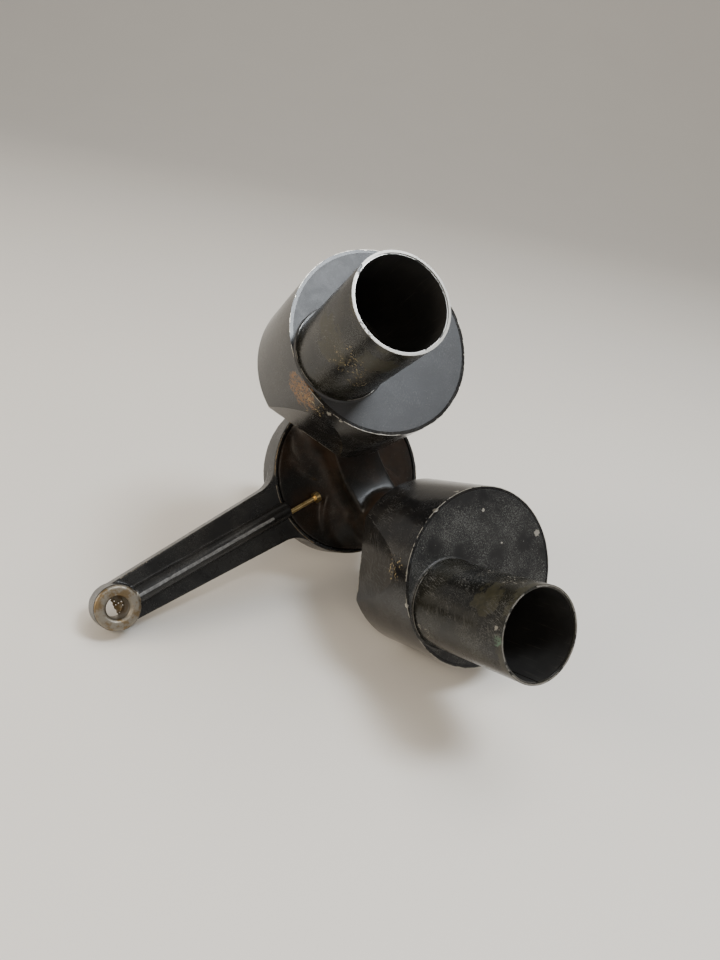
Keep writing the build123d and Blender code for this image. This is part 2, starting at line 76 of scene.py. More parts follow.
class Side(Enum):
    """The two halves of the head."""

    RIGHT = "right"
    LEFT = "left"

    @property
    def body(self) -> str:
        """Name of the body that this half's housing turns with.

        Returns:
            The body's name in the record.
        """
        return f"{self.value}_unit"

    def node(self, part: str) -> str:
        """Name of one of this half's nodes.

        Args:
            part: The node's name without its side.

        Returns:
            The full node name.
        """
        return f"{self.value}_{part}"


# --------------------------------------------------------------------------- places


@dataclass(frozen=True)
class Axial:
    """A point on an axis, with a zero direction for angles around it. Metres."""

    origin: Vector
    axis: Vector
    zero: Vector

    def at(self, angle: float, radius: float, height: float) -> Vector:
        """A point given around and along the axis.

        Args:
            angle: Degrees from the zero direction, counter-clockwise seen from the axis's tip.
            radius: Distance from the axis in millimetres.
            height: Distance along the axis in millimetres.

        Returns:
            The point in metres.
        """
        side = self.axis.cross(self.zero)
        out = self.zero * cos(radians(angle)) + side * sin(radians(angle))
        return self.origin + out * (radius * MM) + self.axis * (height * MM)


@dataclass(frozen=True)
class RoundPart:
    """What a round CAD node measures: its end, its axis and its radius there."""

    top: Axial
    radius: float
    height: float

    @staticmethod
    def of(node: str, axis: Vector, toward: Vector) -> "RoundPart":
        """Measures a round node along a known axis.

        Args:
            node: The CAD node's name.
            axis: The direction of its axis, towards the end to measure from.
            toward: A point that the zero direction faces, in metres.

        Returns:
            The node's end and radius, with lengths in millimetres.
        """
        axis = axis.normalized()
        points = [v.co for v in NODES[node].data.vertices]
        heights = [p.dot(axis) for p in points]
        high, low = max(heights), min(heights)
        rim = [p for p, h in zip(points, heights) if h > high - 1.2 * MM]
        first = axis.orthogonal().normalized()
        second = axis.cross(first)
        middle = axis * high
        for direction in (first, second):
            reach = [p.dot(direction) for p in rim]
            middle = middle + direction * ((max(reach) + min(reach)) / 2)
        radius = max((p - middle - axis * (p - middle).dot(axis)).length for p in rim)
        out = toward - middle
        zero = (out - axis * out.dot(axis)).normalized()
        return RoundPart(Axial(middle, axis, zero), radius / MM, (high - low) / MM)


@dataclass(frozen=True)
class HeadFrame:
    """The head's own directions, worked out from the record's joints and mounts."""

    axis: Vector
    arm: Vector
    across: Vector
    eye: Vector
    unit_axes: dict[Side, Vector]
    mounts: dict[str, dict]

    @staticmethod
    def of(record: dict, eye: Vector) -> "HeadFrame":
        """Reads the head's directions.

        Args:
            record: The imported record.
            eye: Where the camera is, in metres, for marks that are placed as seen.

        Returns:
            The head's frame.
        """
        joints = {j["child"]: j for j in record["behaviour"]["joints"]}
        unit_axes = {side: Vector(joints[side.body]["axis"]).normalized() for side in Side}
        axis = (unit_axes[Side.RIGHT] + unit_axes[Side.LEFT]).normalized()
        right, left = (Vector(joints[side.body]["pos_m"]) for side in Side)
        across = (right - left).normalized()
        mounts = {m["name"]: m for m in record["mounts"]}
        return HeadFrame(axis, axis.cross(across), across, eye, unit_axes, mounts)


# --------------------------------------------------------------------------- shader graphs


class Graph:
    """Builds one material's node tree. All of its lengths are millimetres in the part's frame."""

    def __init__(self, name: str) -> None:
        """Starts a material with an empty tree.

        Args:
            name: The material's name.
        """
        self.material = bpy.data.materials.new(name)
        self.material.use_nodes = True
        self.tree = self.material.node_tree
        self.tree.nodes.clear()
        self.output = self.tree.nodes.new("ShaderNodeOutputMaterial")
        where = self.tree.nodes.new("ShaderNodeTexCoord")
        self.place = self.scale(where.outputs["Object"], 1000.0)
        self.normal = where.outputs["Normal"]

    def put(self, socket: Socket, value: object) -> None:
        """Links a socket or sets its value.

        Args:
            socket: The input to fill.
            value: Another node's output, or a constant.
        """
        if isinstance(value, bpy.types.NodeSocket):
            self.tree.links.new(value, socket)
        elif isinstance(value, (tuple, list, Vector)) and socket.type == "RGBA":
            socket.default_value = (*tuple(value)[:3], 1.0)
        else:
            socket.default_value = value

    def math(self, operation: str, *values: object, clamp: bool = False) -> Socket:
        """A maths node.

        Args:
            operation: Blender's name of the operation.
            values: Its one, two or three operands.
            clamp: Whether the result is kept between 0 and 1.

        Returns:
            The node's result.
        """
        node = self.tree.nodes.new("ShaderNodeMath")
        node.operation = operation
        node.use_clamp = clamp
        for socket, value in zip(node.inputs, values):
            self.put(socket, value)
        return node.outputs[0]

    def vector(self, operation: str, *values: object) -> Socket:
        """A vector maths node.

        Args:
            operation: Blender's name of the operation.
            values: Its operands.

        Returns:
            The vector result, or the number where the operation gives one.
        """
        node = self.tree.nodes.new("ShaderNodeVectorMath")
        node.operation = operation
        for socket, value in zip(node.inputs, values):
            self.put(socket, value)
        single = operation in ("DOT_PRODUCT", "LENGTH", "DISTANCE")
        return node.outputs["Value" if single else "Vector"]

    def scale(self, vector: Socket, factor: object) -> Socket:
        """A vector times a number.

        Args:
            vector: The vector.
            factor: The number or the socket that gives it.

        Returns:
            The scaled vector.
        """
        node = self.tree.nodes.new("ShaderNodeVectorMath")
        node.operation = "SCALE"
        self.put(node.inputs[0], vector)
        self.put(node.inputs["Scale"], factor)
        return node.outputs["Vector"]

    def noise(
        self,
        size: float,
        detail: float = 3.0,
        roughness: float = 0.55,
        distortion: float = 0.0,
        stretch: Vector | None = None,
        shift: float = 0.0,
    ) -> Socket:
        """A noise field of a given grain.

        Args:
            size: The grain's size in millimetres.
            detail: How many finer octaves are added.
            roughness: How strong those octaves are.
            distortion: How far the field is warped.
            stretch: A direction along which the grain is drawn out thirty times.
            shift: Moves the field, so that two uses differ.

        Returns:
            Values around 0.5.
        """
        place = self.vector("ADD", self.place, Vector((shift, shift * 1.7, -shift)))
        if stretch is not None:
            along = self.vector("DOT_PRODUCT", place, stretch)
            place = self.vector("SUBTRACT", place, self.scale_constant(stretch, along, 0.967))
        node = self.tree.nodes.new("ShaderNodeTexNoise")
        self.put(node.inputs["Vector"], place)
        node.inputs["Scale"].default_value = 1.0 / size
        node.inputs["Detail"].default_value = detail
        node.inputs["Roughness"].default_value = roughness
        node.inputs["Distortion"].default_value = distortion
        return node.outputs[0]

    def scale_constant(self, direction: Vector, amount: Socket, factor: float) -> Socket:
        """A fixed direction times a field.

        Args:
            direction: The fixed direction.
            amount: The field.
            factor: A further constant factor.

        Returns:
            The resulting vector field.
        """
        node = self.tree.nodes.new("ShaderNodeVectorMath")
        node.operation = "SCALE"
        self.put(node.inputs[0], direction * factor)
        self.put(node.inputs["Scale"], amount)
        return node.outputs["Vector"]

    def cells(self, size: float, feature: str = "F1") -> Socket:
        """A cell field.

        Args:
            size: The cells' size in millimetres.
            feature: Blender's name of the distance that is measured.

        Returns:
            The distance field, in cell sizes.
        """
        node = self.tree.nodes.new("ShaderNodeTexVoronoi")
        node.feature = feature
        self.put(node.inputs["Vector"], self.place)
        node.inputs["Scale"].default_value = 1.0 / size
        return node.outputs["Distance"]

    def step(self, value: Socket, start: float, end: float) -> Socket:
        """A smooth step from 0 at start to 1 at end, where end may be the smaller.

        Args:
            value: The field.
            start: Where the result is 0.
            end: Where the result is 1.

        Returns:
            The stepped field.
        """
        node = self.tree.nodes.new("ShaderNodeMapRange")
        node.interpolation_type = "SMOOTHSTEP"
        self.put(node.inputs["Value"], value)
        low, high = (start, end) if start < end else (end, start)
        node.inputs["From Min"].default_value = low
        node.inputs["From Max"].default_value = high
        node.inputs["To Min"].default_value = 0.0 if start < end else 1.0
        node.inputs["To Max"].default_value = 1.0 if start < end else 0.0
        return node.outputs["Result"]

    def spread(self, value: Socket, low: float, high: float) -> Socket:
        """Maps a field's middle half onto a range of values.

        Args:
            value: A noise field.
            low: The result at 0.25.
            high: The result at 0.75.

        Returns:
            The mapped field.
        """
        node = self.tree.nodes.new("ShaderNodeMapRange")
        self.put(node.inputs["Value"], value)
        node.inputs["From Min"].default_value = 0.25
        node.inputs["From Max"].default_value = 0.75
        node.inputs["To Min"].default_value = low
        node.inputs["To Max"].default_value = high
        return node.outputs["Result"]

    def blend(self, mask: object, under: object, over: object) -> Socket:
        """Lays one colour over another.

        Args:
            mask: Where the upper colour shows.
            under: The lower colour.
            over: The upper colour.

        Returns:
            The mixed colour.
        """
        node = self.tree.nodes.new("ShaderNodeMix")
        node.data_type = "RGBA"
        self.put(node.inputs[0], mask)
        self.put(node.inputs[6], under)
        self.put(node.inputs[7], over)
        return node.outputs[2]

    def lerp(self, mask: object, under: object, over: object) -> Socket:
        """Lays one number over another.

        Args:
            mask: Where the upper number applies.
            under: The lower number.
            over: The upper number.

        Returns:
            The mixed number.
        """
        node = self.tree.nodes.new("ShaderNodeMix")
        node.data_type = "FLOAT"
        self.put(node.inputs[0], mask)
        self.put(node.inputs[2], under)
        self.put(node.inputs[3], over)
        return node.outputs[0]

    def bump(self, height: Socket, depth: float, below: Socket | None = None) -> Socket:
        """Bends the surface by a height field.

        Args:
            height: The field, where 1 is high.
            depth: The height of 1 in millimetres.
            below: A bump that this one is added to.

        Returns:
            The bent normal.
        """
        node = self.tree.nodes.new("ShaderNodeBump")
        node.inputs["Strength"].default_value = 1.0
        node.inputs["Distance"].default_value = depth * MM
        self.put(node.inputs["Height"], height)
        if below is not None:
            self.put(node.inputs["Normal"], below)
        return node.outputs["Normal"]

    def finish(self, **inputs: object) -> bpy.types.Material:
        """Adds the surface shader.

        Args:
            inputs: The shader's inputs, with underscores for the spaces in their names.

        Returns:
            The finished material.
        """
        shader = self.tree.nodes.new("ShaderNodeBsdfPrincipled")
        for name, value in inputs.items():
            self.put(shader.inputs[name.replace("_", " ")], value)
        self.tree.links.new(shader.outputs["BSDF"], self.output.inputs["Surface"])
        return self.material


# --------------------------------------------------------------------------- worn zones


@dataclass(frozen=True)
class Zone(ABC):
    """A part of a surface, with a ragged outline. Lengths are millimetres."""

    width: float = 0.4
    ragged: float = 0.5
    grain: float = 1.6
    broken: float = 0.0

    @abstractmethod
    def distance(self, graph: Graph) -> Socket:
        """How far a point is from the zone's middle.

        Args:
            graph: The material's graph.

        Returns:
            The distance in millimetres.
        """

    def mask(self, graph: Graph) -> Socket:
        """Where the zone is.

        Args:
            graph: The material's graph.

        Returns:
            1 inside the zone and 0 outside it.
        """
        field_at = graph.noise(self.grain, 4.0, 0.65, shift=self.width * 7)
        stray = graph.math("SUBTRACT", field_at, 0.5)
        off = graph.math("MULTIPLY_ADD", stray, self.ragged * 4, self.distance(graph))
        inside = graph.step(off, self.width, self.width * 0.72)
        if self.broken == 0.0:
            return inside
        runs = graph.noise(self.grain * 5, 3.0, 0.6, shift=self.width * 17)
        kept = graph.step(runs, 0.30 + self.broken * 0.4, 0.36 + self.broken * 0.4)
        return graph.math("MULTIPLY", inside, kept)


@dataclass(frozen=True)
class Ring(Zone):
    """The neighbourhood of a circle, such as a rim."""

    frame: Axial | None = None
    radius: float = 1.0
    height: float = 0.0

    def distance(self, graph: Graph) -> Socket:
        """Distance from the circle.

        Args:
            graph: The material's graph.

        Returns:
            The distance in millimetres.
        """
        away = graph.vector("SUBTRACT", graph.place, self.frame.at(0, 0, self.height) / MM)
        lift = graph.vector("DOT_PRODUCT", away, self.frame.axis)
        flat = graph.vector("SUBTRACT", away, graph.scale_constant(self.frame.axis, lift, 1.0))
        out = graph.math("SUBTRACT", graph.vector("LENGTH", flat), self.radius)
        squares = graph.math("MULTIPLY_ADD", out, out, graph.math("MULTIPLY", lift, lift))
        return graph.math("SQRT", squares)


@dataclass(frozen=True)
class Belt(Zone):
    """A band at one level on surfaces that run along an axis."""

    frame: Axial | None = None
    height: float = 0.0

    def distance(self, graph: Graph) -> Socket:
        """Distance from the level, large on surfaces that face along the axis.

        Args:
            graph: The material's graph.

        Returns:
            The distance in millimetres.
        """
        away = graph.vector("SUBTRACT", graph.place, self.frame.at(0, 0, self.height) / MM)
        lift = graph.math("ABSOLUTE", graph.vector("DOT_PRODUCT", away, self.frame.axis))
        facing = graph.math("ABSOLUTE", graph.vector("DOT_PRODUCT", graph.normal, self.frame.axis))
        return graph.math("MULTIPLY_ADD", graph.step(facing, 0.9, 0.99), 50.0, lift)


@dataclass(frozen=True)
class Cap(Zone):
    """A round face: everything near an axis and above a level."""

    frame: Axial | None = None
    radius: float = 1.0
    height: float = 0.0

    def distance(self, graph: Graph) -> Socket:
        """Zero inside the cap, growing outside it.

        Args:
            graph: The material's graph.

        Returns:
            The distance in millimetres.
        """
        away = graph.vector("SUBTRACT", graph.place, self.frame.at(0, 0, self.height) / MM)
        lift = graph.vector("DOT_PRODUCT", away, self.frame.axis)
        flat = graph.vector("SUBTRACT", away, graph.scale_constant(self.frame.axis, lift, 1.0))
        out = graph.math("SUBTRACT", graph.vector("LENGTH", flat), self.radius)
        return graph.math("MAXIMUM", graph.math("MULTIPLY", lift, -1.0), out)


@dataclass(frozen=True)
class Line(Zone):
    """The neighbourhood of a straight line between two points in metres."""

    start: Vector | None = None
    end: Vector | None = None

    def distance(self, graph: Graph) -> Socket:
        """Distance from the line.

        Args:
            graph: The material's graph.

        Returns:
            The distance in millimetres.
        """
        run = self.end - self.start
        direction = run.normalized()
        away = graph.vector("SUBTRACT", graph.place, self.start / MM)
        along = graph.vector("DOT_PRODUCT", away, direction)
        low = graph.math("MAXIMUM", along, 0.0)
        held = graph.math("MINIMUM", low, run.length / MM)
        nearest = graph.scale_constant(direction, held, 1.0)
        return graph.vector("DISTANCE", away, nearest)


@dataclass(frozen=True)
class Patch(Zone):
    """A blot around a point in metres."""

    centre: Vector | None = None

    @staticmethod
    def at(
        frame: Axial,
        angle: float,
        radius: float,
        height: float,
        width: float,
        ragged: float,
        grain: float,
    ) -> "Patch":
        """A blot given around an axis.

        Args:
            frame: The axis.
            angle: Degrees from its zero direction.
            radius: Distance from the axis.
            height: Distance along the axis.
            width: The blot's radius.
            ragged: How far its outline strays.
            grain: The size of the strays.

        Returns:
            The blot.
        """
        return Patch(width, ragged, grain, centre=frame.at(angle, radius, height))

    def distance(self, graph: Graph) -> Socket:
        """Distance from the middle of the blot.

        Args:
            graph: The material's graph.

        Returns:
            The distance in millimetres.
        """
        return graph.vector("DISTANCE", graph.place, self.centre / MM)


# --------------------------------------------------------------------------- finishes


class Finish(ABC):
    """A surface finish that makes materials."""

    @abstractmethod
    def material(self, name: str) -> bpy.types.Material:
        """Makes the finish's material.

        Args:
            name: The material's name.

        Returns:
            The material.
        """


@dataclass(frozen=True)
class Paint(Finish):
    """Black paint on metal: drift, grain, scratches, chips, and zones that are worn bare."""

    coat: Colour = (0.006, 0.006, 0.0065)
    drift: Colour = (0.011, 0.010, 0.009)
    gloss: float = 0.24
    gloss_drift: float = 0.12
    peel_size: float = 1.4
    peel_depth: float = 0.006
    grain_size: float = 0.22
    grain_depth: float = 0.002
    lacquer: float = 0.08
    mirror: float = 0.20
    scratches: float = 0.5
    scratch_tint: Colour = (0.09, 0.09, 0.085)
    specks: float = 0.5
    speck_tint: Colour = (0.42, 0.39, 0.33)
    dust: float = 0.25
    bare: Colour = (0.30, 0.285, 0.255)
    bare_gloss: float = 0.38
    paint_depth: float = 0.05
    worn: tuple[Zone, ...] = ()
    rubbed: tuple[Zone, ...] = ()
    rubbed_tint: Colour = (0.10, 0.095, 0.06)
    stained: tuple[Zone, ...] = ()
    stain_tint: Colour = (0.16, 0.085, 0.035)
    flecked: tuple[Zone, ...] = ()
    fleck_tint: Colour = (0.30, 0.235, 0.12)
    tarnish: float = 0.0
    tarnish_tint: Colour = (0.13, 0.085, 0.035)

    def union(self, graph: Graph, zones: tuple[Zone, ...]) -> Socket | float:
        """Joins several zones.

        Args:
            graph: The material's graph.
            zones: The zones.

        Returns:
            The joined mask, or 0 where there is no zone.
        """
        joined: Socket | float = 0.0
        for zone in zones:
            mask = zone.mask(graph)
            joined = graph.math("MAXIMUM", joined, mask)
        return joined

    def scratch_mask(self, graph: Graph) -> Socket:
        """Fine scratches in three directions.

        Args:
            graph: The material's graph.

        Returns:
            The scratches' mask.
        """
        marks: Socket | float = 0.0
        headings = ((0.83, 0.31, 0.46), (-0.25, 0.71, 0.66), (0.42, -0.88, 0.2))
        for index, heading in enumerate(headings):
            along = Vector(heading).normalized()
            lines = graph.noise(0.11, 0.0, 0.5, stretch=along, shift=31.0 * index)
            region = graph.noise(9.0, 2.0, 0.5, shift=57.0 * index)
            deep = graph.step(lines, 0.66, 0.72)
            cut = graph.math("MULTIPLY", deep, graph.step(region, 0.46, 0.60))
            marks = graph.math("MAXIMUM", marks, cut)
        return graph.math("MULTIPLY", marks, self.scratches)

    def material(self, name: str) -> bpy.types.Material:
        """Makes the paint's material.

        Args:
            name: The material's name.

        Returns:
            The material.
        """
        graph = Graph(name)
        cloud = graph.noise(14.0, 4.0, 0.6)
        smudge = graph.noise(4.5, 5.0, 0.62, distortion=0.6, shift=11.0)
        colour = graph.blend(graph.step(cloud, 0.38, 0.66), self.coat, self.drift)
        half = self.gloss_drift / 2
        rough = graph.spread(smudge, self.gloss - half, self.gloss + half)

        rubbed = self.union(graph, self.rubbed)
        patchy = graph.step(graph.noise(1.1, 5.0, 0.7, shift=5.0), 0.40, 0.60)
        rubbed = graph.math("MULTIPLY", rubbed, graph.lerp(0.55, patchy, 1.0))
        colour = graph.blend(rubbed, colour, self.rubbed_tint)
        rough = graph.lerp(rubbed, rough, 0.38)

        stained = self.union(graph, self.stained)
        crackle = graph.step(graph.cells(1.3, "DISTANCE_TO_EDGE"), 0.10, 0.03)
        blotch = graph.step(graph.noise(0.9, 5.0, 0.7, shift=23.0), 0.44, 0.62)
        stain = graph.math("MULTIPLY", stained, graph.math("MAXIMUM", crackle, blotch))
        colour = graph.blend(stain, colour, self.stain_tint)
        rough = graph.lerp(stain, rough, 0.6)

        scratched = self.scratch_mask(graph)
        colour = graph.blend(scratched, colour, self.scratch_tint)
        rough = graph.lerp(scratched, rough, 0.45)

        grit = graph.step(graph.noise(0.6, 4.0, 0.7, shift=63.0), 0.57, 0.62)
        clumps = graph.step(graph.noise(2.4, 2.0, 0.5, shift=19.0), 0.46, 0.53)
        flecked = graph.math("MULTIPLY", self.union(graph, self.flecked), grit)
        flecked = graph.math("MULTIPLY", flecked, clumps)
        colour = graph.blend(flecked, colour, self.fleck_tint)
        rough = graph.lerp(flecked, rough, 0.5)

        flakes = graph.step(graph.noise(0.7, 3.0, 0.6, shift=41.0), 0.755, 0.785)
        flakes = graph.math("MULTIPLY", flakes, self.specks)
        flakes = graph.math("GREATER_THAN", flakes, 0.45)
        worn = graph.math("MAXIMUM", self.union(graph, self.worn), flakes)
        metal = graph.blend(graph.noise(0.5, 3.0, 0.6, shift=3.0), self.bare, self.speck_tint)
        film = graph.step(graph.noise(2.4, 5.0, 0.65, shift=37.0), 0.44, 0.60)
        film = graph.math("MULTIPLY", film, self.tarnish)
        metal = graph.blend(film, metal, self.tarnish_tint)
        colour = graph.blend(worn, colour, metal)
        rough = graph.lerp(worn, rough, self.bare_gloss)

        motes = graph.step(graph.noise(0.32, 1.0, 0.5, shift=77.0), 0.74, 0.80)
        veil = graph.step(graph.noise(18.0, 3.0, 0.5, shift=91.0), 0.42, 0.68)
        settled = graph.math("MULTIPLY", graph.math("MULTIPLY", motes, veil), self.dust)
        colour = graph.blend(settled, colour, (0.45, 0.43, 0.40))
        rough = graph.lerp(settled, rough, 0.8)

        peel = graph.bump(graph.noise(self.peel_size, 2.0, 0.5, shift=2.0), self.peel_depth)
        fine = graph.noise(self.grain_size, 2.0, 0.6, shift=8.0)
        grain = graph.bump(fine, self.grain_depth, peel)
        cut = graph.bump(graph.math("SUBTRACT", 1.0, worn), self.paint_depth, grain)
        return graph.finish(
            Base_Color=colour,
            Roughness=rough,
            Metallic=graph.math("MULTIPLY", worn, 0.9),
            Specular_IOR_Level=self.mirror,
            Coat_Weight=self.lacquer,
            Coat_Roughness=0.12,
            Normal=cut,
        )


@dataclass(frozen=True)
class Metal(Finish):
    """Bare metal with turning or rolling marks, tarnish and pits."""

    tint: Colour = (0.55, 0.54, 0.52)
    tarnish: Colour = (0.30, 0.20, 0.09)
    tarnish_cover: float = 0.45
    gloss: float = 0.32
    line_size: float = 0.16
    line_depth: float = 0.004
    grain: Vector | None = None

    def material(self, name: str) -> bpy.types.Material:
        """Makes the metal's material.

        Args:
            name: The material's name.

        Returns:
            The material.
        """
        graph = Graph(name)
        lines = graph.noise(self.line_size, 2.0, 0.6, stretch=self.grain)
        cloud = graph.noise(2.6, 6.0, 0.68, distortion=0.4, shift=13.0)
        spots = graph.step(graph.noise(0.45, 3.0, 0.6, shift=29.0), 0.66, 0.74)
        film = graph.step(cloud, 0.62 - self.tarnish_cover * 0.4, 0.70)
        colour = graph.blend(film, self.tint, self.tarnish)
        colour = graph.blend(graph.math("MULTIPLY", spots, 0.6), colour, (0.05, 0.04, 0.03))
        rough = graph.spread(lines, self.gloss - 0.07, self.gloss + 0.10)
        rough = graph.lerp(film, rough, 0.5)
        pits = graph.bump(graph.math("SUBTRACT", 1.0, spots), 0.012)
        return graph.finish(
            Base_Color=colour,
            Roughness=rough,
            Metallic=graph.lerp(spots, 1.0, 0.4),
            Normal=graph.bump(lines, self.line_depth, pits),
        )


@dataclass(frozen=True)
class BlackenedBore(Finish):
    """Matt blackened metal that is rubbed at its mouth."""

    mouth: tuple[Zone, ...] = ()
    mouth_tint: Colour = (0.30, 0.29, 0.27)
    slide: Vector = field(default_factory=lambda: Vector((0, 0, 1)))

    def material(self, name: str) -> bpy.types.Material:
        """Makes the bore's material.

        Args:
            name: The material's name.

        Returns:
            The material.
        """
        graph = Graph(name)
        rubs = graph.step(graph.noise(0.35, 3.0, 0.6, stretch=self.slide), 0.60, 0.72)
        smoke = graph.noise(5.0, 4.0, 0.6, shift=7.0)
        colour = graph.blend(smoke, (0.030, 0.030, 0.031), (0.060, 0.058, 0.054))
        colour = graph.blend(graph.math("MULTIPLY", rubs, 0.45), colour, (0.16, 0.15, 0.13))
        bright: Socket | float = 0.0
        for zone in self.mouth:
            bright = graph.math("MAXIMUM", bright, zone.mask(graph))
        colour = graph.blend(bright, colour, self.mouth_tint)
        rough = graph.lerp(bright, graph.spread(smoke, 0.36, 0.50), 0.34)
        fine = graph.bump(graph.noise(0.2, 2.0, 0.6, shift=17.0), 0.004)
        return graph.finish(
            Base_Color=colour,
            Roughness=rough,
            Metallic=graph.lerp(bright, 0.6, 1.0),
            Normal=fine,
        )


@dataclass(frozen=True)
class Glass(Finish):
    """Optical glass with dust and a faint film."""

    tint: Colour = (0.93, 0.97, 0.96)
    film: Colour = (0.60, 0.62, 0.60)

    def material(self, name: str) -> bpy.types.Material:
        """Makes the glass's material.

        Args:
            name: The material's name.

        Returns:
            The material.
        """
        graph = Graph(name)
        haze = graph.step(graph.noise(3.0, 4.0, 0.6), 0.50, 0.75)
        motes = graph.step(graph.noise(0.25, 1.0, 0.5, shift=9.0), 0.72, 0.78)
        dirt = graph.math("MAXIMUM", graph.math("MULTIPLY", haze, 0.08), motes)
        colour = graph.blend(dirt, self.tint, self.film)
        wave = graph.bump(graph.noise(2.0, 1.0, 0.5, shift=19.0), 0.001)
        return graph.finish(
            Base_Color=colour,
            Roughness=graph.lerp(dirt, 0.02, 0.45),
            Transmission_Weight=graph.lerp(dirt, 1.0, 0.3),
            IOR=1.52,
            Normal=wave,
        )


@dataclass(frozen=True)
class Fibre(Finish):
    """Pressed red fibre board."""

    tint: Colour = (0.22, 0.06, 0.035)
    dark: Colour = (0.11, 0.03, 0.02)

    def material(self, name: str) -> bpy.types.Material:
        """Makes the fibre's material.

        Args:
            name: The material's name.

        Returns:
            The material.
        """
        graph = Graph(name)
        hairs = graph.noise(0.18, 4.0, 0.7, distortion=1.2)
        stain = graph.noise(3.5, 3.0, 0.6, shift=6.0)
        colour = graph.blend(graph.step(hairs, 0.35, 0.7), self.dark, self.tint)
        colour = graph.blend(graph.step(stain, 0.5, 0.8), colour, self.dark)
        return graph.finish(
            Base_Color=colour,
            Roughness=graph.spread(hairs, 0.6, 0.8),
            Normal=graph.bump(hairs, 0.012),
        )


@dataclass(frozen=True)
class Table(Finish):
    """A plain pale studio surface."""

    tint: Colour = (0.73, 0.70, 0.65)

    def material(self, name: str) -> bpy.types.Material:
        """Makes the surface's material.

        Args:
            name: The material's name.

        Returns:
            The material.
        """
        graph = Graph(name)
        cloud = graph.noise(120.0, 3.0, 0.5)
        deeper = tuple(c * 0.96 for c in self.tint)
        return graph.finish(
            Base_Color=graph.blend(cloud, self.tint, deeper),
            Roughness=graph.spread(graph.noise(3.0, 3.0, 0.5, shift=4.0), 0.55, 0.68),
            Normal=graph.bump(graph.noise(0.8, 2.0, 0.5), 0.004),
        )


def dress(piece: bpy.types.Object, material: bpy.types.Material) -> None:
    """Gives a piece one material.

    Args:
        piece: The object.
        material: Its material.
    """
    piece.data.materials.clear()
    piece.data.materials.append(material)
    log.info("%s wears %s", piece.name, material.name)


# --------------------------------------------------------------------------- mesh makers


class CastCopy:
    """A copy of a machined CAD node with a casting's soft edges and blended corners."""

    def __init__(self, name: str, nodes: tuple[str, ...], voxel: float, passes: int) -> None:
        """Plans the copy.

        Args:
            name: The new object's name.
            nodes: The CAD nodes that are one casting.
            voxel: The new mesh's cell size in millimetres.
            passes: How many smoothing passes it gets.
        """
        self.name = name
        self.nodes = nodes
        self.voxel = voxel
        self.passes = passes

    def joined(self) -> bpy.types.Mesh:
        """Puts the nodes' meshes together.

        Returns:
            One mesh with every node's faces.
        """
        shape = bmesh.new()
        for node in self.nodes:
            shape.from_mesh(NODES[node].data)
        mesh = bpy.data.meshes.new(self.name)
        shape.to_mesh(mesh)
        shape.free()
        return mesh

    def build(self) -> bpy.types.Object:
        """Makes the soft copy, riding on the nodes' body in their place.

        Returns:
            The new object.
        """
        piece = bpy.data.objects.new(self.name, self.joined())
        bpy.context.scene.collection.objects.link(piece)
        remesh = piece.modifiers.new("cells", "REMESH")
        remesh.mode = "VOXEL"
        remesh.voxel_size = self.voxel * MM
        soften = piece.modifiers.new("soften", "SMOOTH")
        soften.factor = 0.5
        soften.iterations = self.passes
        self.apply(piece)
        for polygon in piece.data.polygons:
            polygon.use_smooth = True
        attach(piece, NODES[self.nodes[0]]["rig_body"])
        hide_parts(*self.nodes)
        log.info("%s has %d faces", piece.name, len(piece.data.polygons))
        return piece

    @staticmethod
    def apply(piece: bpy.types.Object) -> None:
        """Makes the modifiers' result the object's own mesh.

        Args:
            piece: The object.
        """
        graph = bpy.context.evaluated_depsgraph_get()
        result = bpy.data.meshes.new_from_object(piece.evaluated_get(graph))
        piece.modifiers.clear()
        old = piece.data
        piece.data = result
        bpy.data.meshes.remove(old)


class Lathe:
    """A ring turned from a profile."""

    def __init__(
        self, name: str, frame_at: Axial, profile: list[tuple[float, float]], steps: int = 160
    ) -> None:
        """Plans the ring.

        Args:
            name: The new object's name.
            frame_at: Where its axis is.
            profile: Closed outline as (radius, height) pairs in millimetres.
            steps: How many facets go round.
        """
        self.name = name
        self.frame_at = frame_at
        self.profile = profile
        self.steps = steps

    def build(self, body: str, slot: str) -> bpy.types.Object:
        """Makes the ring and lets it ride on a body.

        Args:
            body: The body that it moves with.
            slot: Not used.

        Returns:
            The new object.
        """
        mesh = bpy.data.meshes.new(self.name)
        shape = bmesh.new()
        rows = []
        for index in range(self.steps):
            angle = 360.0 * index / self.steps
            rows.append([shape.verts.new(self.frame_at.at(angle, r, h)) for r, h in self.profile])
        for index, row in enumerate(rows):
            other = rows[(index + 1) % self.steps]
            for k in range(len(row)):
                nxt = (k + 1) % len(row)
                face = shape.faces.new((row[k], other[k], other[nxt], row[nxt]))
                face.smooth = True
        bmesh.ops.recalc_face_normals(shape, faces=shape.faces)
        shape.to_mesh(mesh)
        shape.free()
        piece = bpy.data.objects.new(self.name, mesh)
        bpy.context.scene.collection.objects.link(piece)
        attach(piece, body)
        log.info("%s turned, %d faces", self.name, len(mesh.polygons))
        return piece


# --------------------------------------------------------------------------- sub-assemblies


@dataclass(frozen=True)
class CarrierSizes:
    """What the carrier's looks need to know, in millimetres."""

    voxel: float = 0.30
    passes: int = 9
    ring_radius: float = 27.2
    boss_radius: float = 6.8
    boss_length: float = 10.0
    bore_radius: float = 3.9
    bevel: float = 0.55
    rib_crest: float = 3.9
    rib_start: float = 33.0
    rib_end: float = 81.0
    edge_start: float = 34.0
    edge_end: float = 82.0
    blade_half_root: float = 9.3
    blade_half_tip: float = 6.7
    boss_rise: float = 4.2
    reach: float = 87.0


